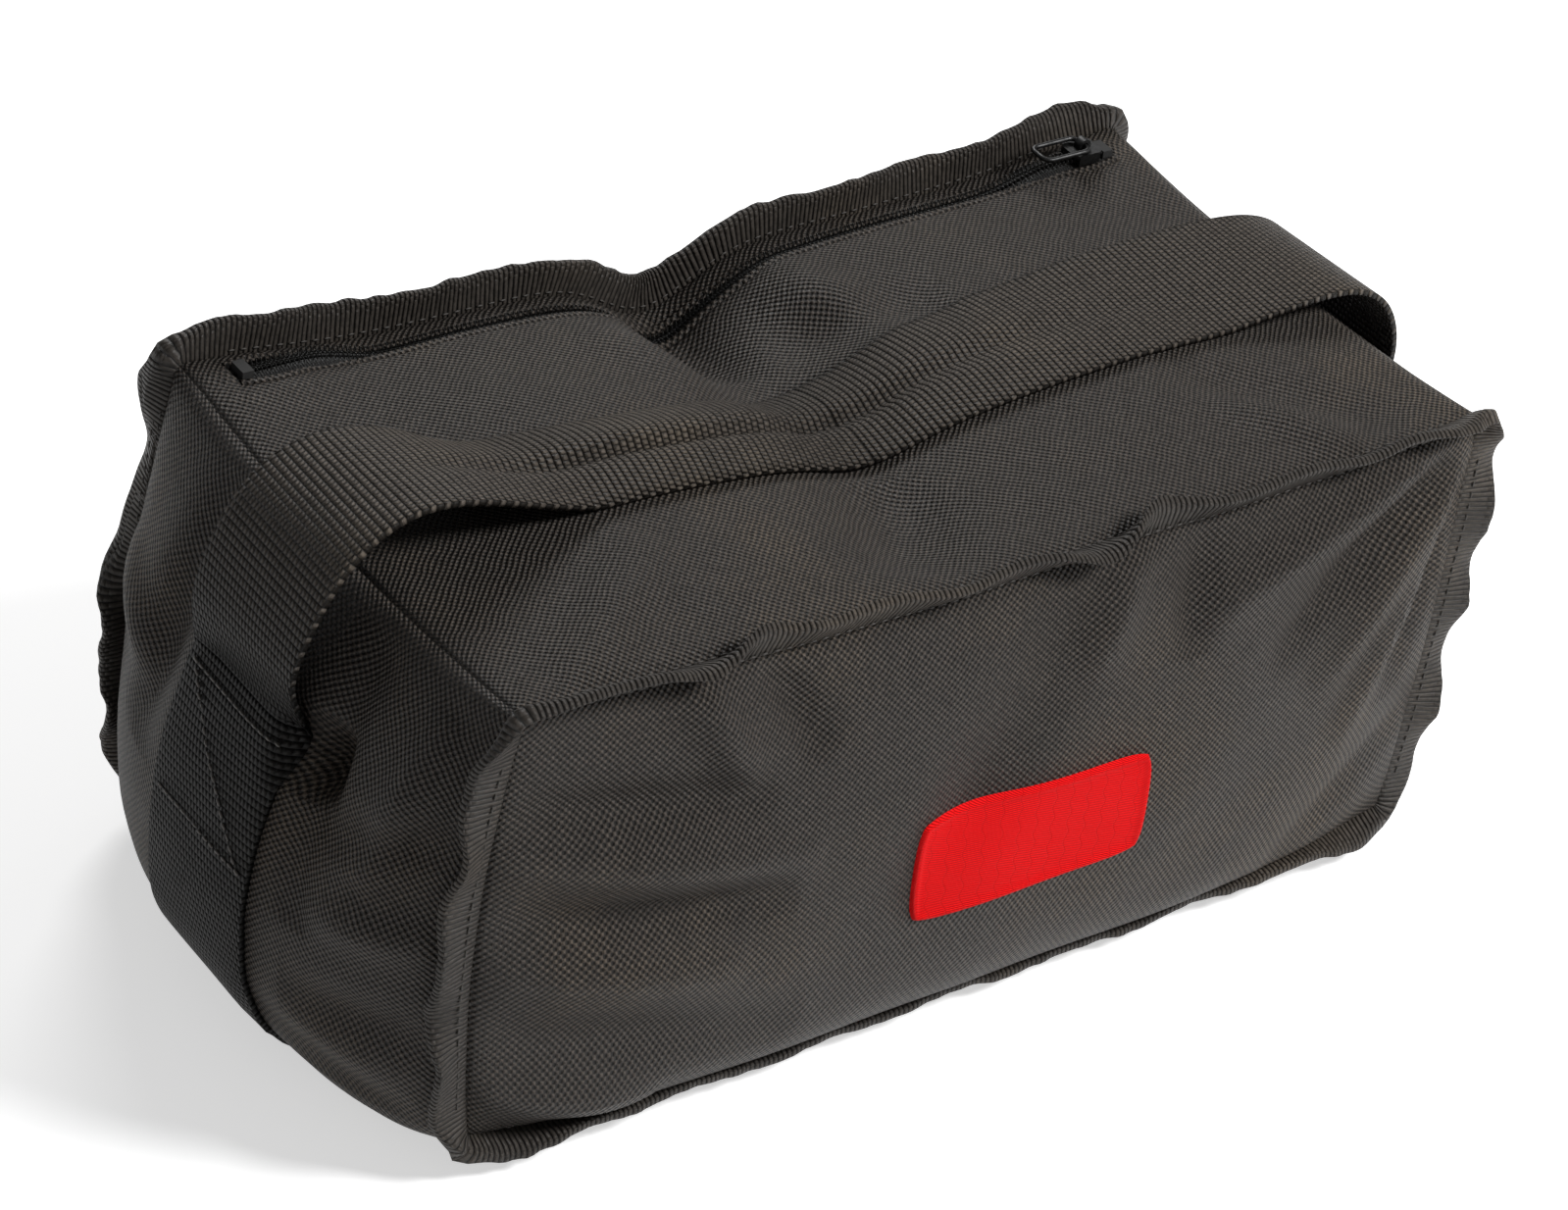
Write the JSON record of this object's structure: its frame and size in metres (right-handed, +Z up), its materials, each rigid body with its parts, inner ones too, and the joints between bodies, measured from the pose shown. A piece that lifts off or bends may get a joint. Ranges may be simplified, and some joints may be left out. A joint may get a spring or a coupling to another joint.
{
  "type": "sandbag",
  "caption": "Box-shaped woven fabric sandbag with bound seams, a zipped top, inner sand pouches and a webbing carry handle.",
  "frame": {"origin": "on the ground below the middle of the bag", "axes": "+X along the bag's length to the end where the zip is closed, -Y to the front with the badge, +Z up"},
  "size_m": [0.4052, 0.213, 0.1829],
  "materials": {
    "shell_fabric": "coated plain-woven polyester, matt",
    "binding_tape": "ribbed woven tape",
    "webbing": "heavy woven webbing",
    "black_thread": "thick bonded thread",
    "badge_thread": "satin-stitched thread",
    "zip_tape": "woven zip tape",
    "zip_coil": "nylon coil",
    "zip_metal": "nickel-plated",
    "liner": "thin coated liner",
    "sand": "loose dry sand",
    "tie_cord": "cotton cord"
  },
  "bodies": {
    "bag": {"front_panel": "shell_fabric", "back_panel": "shell_fabric", "top_panel": "shell_fabric", "bottom_panel": "shell_fabric", "left_end_panel": "shell_fabric", "right_end_panel": "shell_fabric", "front_binding": "binding_tape", "back_binding": "binding_tape", "base_webbing": "webbing", "left_anchor_stitching": "black_thread", "right_anchor_stitching": "black_thread", "front_badge": "badge_thread", "zip_tape_front": "zip_tape", "zip_tape_rear": "zip_tape", "zip_coil_front": "zip_coil", "zip_coil_rear": "zip_coil", "zip_end_stops": "zip_metal", "left_pouch": "liner", "right_pouch": "liner", "left_sand": "sand", "right_sand": "sand", "left_pouch_tie": "tie_cord", "right_pouch_tie": "tie_cord"},
    "handle": {"carry_handle": "webbing"},
    "slider": {"zip_slider": "zip_metal"},
    "pull": {"zip_pull": "zip_metal"}
  },
  "joints": [
    {"name": "handle_lift", "type": "slide", "parent": "bag", "child": "handle", "axis": [0, 0, 1], "range_m": [0, 0.04]},
    {"name": "zip_slide", "type": "slide", "parent": "bag", "child": "slider", "axis": [-1, 0, 0], "range_m": [0, 0.2928]},
    {"name": "pull_swing", "type": "hinge", "parent": "slider", "child": "pull", "pos_m": [0.1464, 0.076, 0.16605], "axis": [0, 1, 0], "range_deg": [0, 150]}
  ]
}
